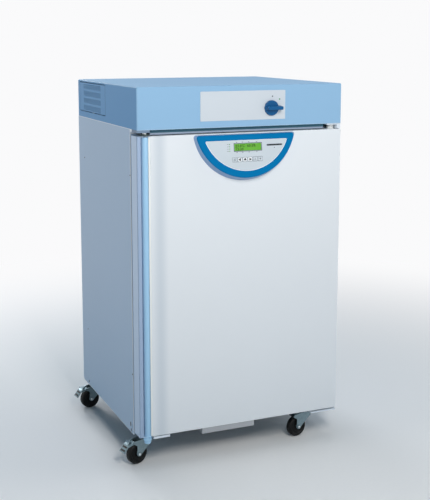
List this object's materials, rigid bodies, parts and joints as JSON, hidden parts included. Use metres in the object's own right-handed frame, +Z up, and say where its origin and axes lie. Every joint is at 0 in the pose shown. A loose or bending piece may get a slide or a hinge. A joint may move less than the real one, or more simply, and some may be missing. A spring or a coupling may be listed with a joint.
{
  "type": "climate chamber",
  "caption": "Floor-standing climate chamber on swivel casters: insulated cabinet with a full-height hinged door, half-moon control panel, turning bar handle and electronics hood.",
  "frame": {"origin": "on the floor, under the middle of the cabinet", "axes": "+Z up, the door faces -Y, +X to the right as seen from the front"},
  "size_m": [0.8573, 0.7757, 1.306],
  "materials": {
    "hood_blue": "satin powder coat",
    "cabinet_white": "satin powder coat",
    "handle_blue": "satin powder coat",
    "chamber_steel": "fine brushed",
    "zinc_steel": "bright zinc plate",
    "frame_steel": "matt coat",
    "recess_grey": "matt coat",
    "foam": "cut foam",
    "panel_blue": "moulded",
    "knob_blue": "moulded",
    "fascia_grey": "printed film",
    "plate_grey": "matt film",
    "key_white": "matt",
    "display_green": "lit screen",
    "lamp_green": "clear lens",
    "board_green": "coated board",
    "bush_white": "moulded",
    "seal_grey": "matt",
    "black_steel": "enamel",
    "coil_aluminium": "mill finish",
    "motor_grey": "matt",
    "black_plastic": "moulded",
    "port_plastic": "moulded",
    "water_brass": "turned",
    "wheel_black": "matt",
    "latch_dark": "dark plated"
  },
  "bodies": {
    "cabinet": {"base_frame": "frame_steel", "left_side_panel": "cabinet_white", "right_side_panel": "cabinet_white", "rear_panel": "zinc_steel", "front_frame": "recess_grey", "inner_liner": "chamber_steel", "liner_port_wall": "chamber_steel", "insulation": "foam", "air_baffle": "chamber_steel", "shelf_racks": "chamber_steel", "wire_shelves": "chamber_steel", "climate_coils": "coil_aluminium", "fan_motor": "motor_grey", "compressor": "black_steel", "condenser": "coil_aluminium", "steam_generator": "chamber_steel", "mains_gland": "black_plastic", "water_connectors": "water_brass", "access_port": "port_plastic", "wall_spacers": "black_plastic", "hood_shell": "hood_blue", "hood_grille": "hood_blue", "switch_plate": "plate_grey", "main_switch_body": "black_plastic", "power_unit": "zinc_steel", "hinge_brackets": "cabinet_white", "latch_keepers": "cabinet_white", "caster_plates": "zinc_steel"},
    "fan": {"fan_wheel": "coil_aluminium"},
    "condenser_fan": {"condenser_fan": "black_plastic"},
    "drip_tray": {"drip_tray": "chamber_steel"},
    "main_switch_knob": {"main_switch_knob": "knob_blue"},
    "door": {"door_skin": "cabinet_white", "door_inner_panel": "chamber_steel", "door_insulation": "foam", "door_gasket": "seal_grey", "door_bushes": "bush_white", "control_bezel": "panel_blue", "control_fascia": "fascia_grey", "display_module": "display_green", "control_board": "board_green", "indicator_lights": "lamp_green"},
    "handle": {"handle_bar": "handle_blue", "handle_catches": "latch_dark"},
    "key_menu": {"key_menu": "key_white"},
    "key_left": {"key_left": "key_white"},
    "key_up": {"key_up": "key_white"},
    "key_right": {"key_right": "key_white"},
    "key_enter": {"key_enter": "key_white"},
    "key_light": {"key_light": "key_white"},
    "caster_front_left": {"caster_fork_front_left": "zinc_steel"},
    "wheel_front_left": {"caster_wheel_front_left": "wheel_black"},
    "brake_front_left": {"brake_pedal_front_left": "zinc_steel"},
    "caster_front_right": {"caster_fork_front_right": "zinc_steel"},
    "wheel_front_right": {"caster_wheel_front_right": "wheel_black"},
    "caster_rear_left": {"caster_fork_rear_left": "zinc_steel"},
    "wheel_rear_left": {"caster_wheel_rear_left": "wheel_black"},
    "brake_rear_left": {"brake_pedal_rear_left": "zinc_steel"},
    "caster_rear_right": {"caster_fork_rear_right": "zinc_steel"},
    "wheel_rear_right": {"caster_wheel_rear_right": "wheel_black"}
  },
  "joints": [
    {"name": "door_swing", "type": "hinge", "parent": "cabinet", "child": "door", "pos_m": [0.352, -0.323, 0.63], "axis": [0, 0, 1], "range_deg": [0, 120]},
    {"name": "handle_turn", "type": "hinge", "parent": "door", "child": "handle", "pos_m": [-0.3495, -0.34, 0.63], "axis": [0, 0, 1], "range_deg": [0, 35]},
    {"name": "main_switch_turn", "type": "hinge", "parent": "cabinet", "child": "main_switch_knob", "pos_m": [0.104, -0.354, 1.227], "axis": [0, -1, 0], "range_deg": [0, 90]},
    {"name": "drip_tray_slide", "type": "slide", "parent": "cabinet", "child": "drip_tray", "axis": [0, -1, 0], "range_m": [0, 0.15]},
    {"name": "fan_spin", "type": "hinge", "parent": "cabinet", "child": "fan", "pos_m": [0, 0.262, 0.65], "axis": [0, -1, 0], "continuous": true},
    {"name": "condenser_fan_spin", "type": "hinge", "parent": "cabinet", "child": "condenser_fan", "pos_m": [0.06, -0.215, 0.1705], "axis": [0, -1, 0], "continuous": true},
    {"name": "key_menu_press", "type": "slide", "parent": "door", "child": "key_menu", "axis": [0, 0.994, -0.1097], "range_m": [0, 0.001], "stiffness_N_per_m": 400},
    {"name": "key_left_press", "type": "slide", "parent": "door", "child": "key_left", "axis": [0, 0.994, -0.1097], "range_m": [0, 0.001], "stiffness_N_per_m": 400},
    {"name": "key_up_press", "type": "slide", "parent": "door", "child": "key_up", "axis": [0, 0.994, -0.1097], "range_m": [0, 0.001], "stiffness_N_per_m": 400},
    {"name": "key_right_press", "type": "slide", "parent": "door", "child": "key_right", "axis": [0, 0.994, -0.1097], "range_m": [0, 0.001], "stiffness_N_per_m": 400},
    {"name": "key_enter_press", "type": "slide", "parent": "door", "child": "key_enter", "axis": [0, 0.994, -0.1097], "range_m": [0, 0.001], "stiffness_N_per_m": 400},
    {"name": "key_light_press", "type": "slide", "parent": "door", "child": "key_light", "axis": [0, 0.994, -0.1097], "range_m": [0, 0.001], "stiffness_N_per_m": 400},
    {"name": "swivel_front_left", "type": "hinge", "parent": "cabinet", "child": "caster_front_left", "pos_m": [-0.335, -0.275, 0.09], "axis": [0, 0, 1], "continuous": true},
    {"name": "wheel_spin_front_left", "type": "hinge", "parent": "caster_front_left", "child": "wheel_front_left", "pos_m": [-0.37171, -0.28484, 0.0375], "axis": [0.2588, -0.9659, 0], "continuous": true},
    {"name": "brake_press_front_left", "type": "hinge", "parent": "caster_front_left", "child": "brake_front_left", "pos_m": [-0.38523, -0.28846, 0.08], "axis": [0.2588, -0.9659, 0], "range_deg": [0, 12], "stiffness_Nm_per_rad": 2},
    {"name": "swivel_front_right", "type": "hinge", "parent": "cabinet", "child": "caster_front_right", "pos_m": [0.29, -0.275, 0.09], "axis": [0, 0, 1], "continuous": true},
    {"name": "wheel_spin_front_right", "type": "hinge", "parent": "caster_front_right", "child": "wheel_front_right", "pos_m": [0.25258, -0.2816, 0.0375], "axis": [0.1736, -0.9848, 0], "continuous": true},
    {"name": "swivel_rear_left", "type": "hinge", "parent": "cabinet", "child": "caster_rear_left", "pos_m": [-0.335, 0.305, 0.09], "axis": [0, 0, 1], "continuous": true},
    {"name": "wheel_spin_rear_left", "type": "hinge", "parent": "caster_rear_left", "child": "wheel_rear_left", "pos_m": [-0.37253, 0.29906, 0.0375], "axis": [0.1564, -0.9877, 0], "continuous": true},
    {"name": "brake_press_rear_left", "type": "hinge", "parent": "caster_rear_left", "child": "brake_rear_left", "pos_m": [-0.38636, 0.29686, 0.08], "axis": [0.1564, -0.9877, 0], "range_deg": [0, 12], "stiffness_Nm_per_rad": 2},
    {"name": "swivel_rear_right", "type": "hinge", "parent": "cabinet", "child": "caster_rear_right", "pos_m": [0.29, 0.305, 0.09], "axis": [0, 0, 1], "continuous": true},
    {"name": "wheel_spin_rear_right", "type": "hinge", "parent": "caster_rear_right", "child": "wheel_rear_right", "pos_m": [0.25221, 0.30103, 0.0375], "axis": [0.1045, -0.9945, 0], "continuous": true}
  ]
}
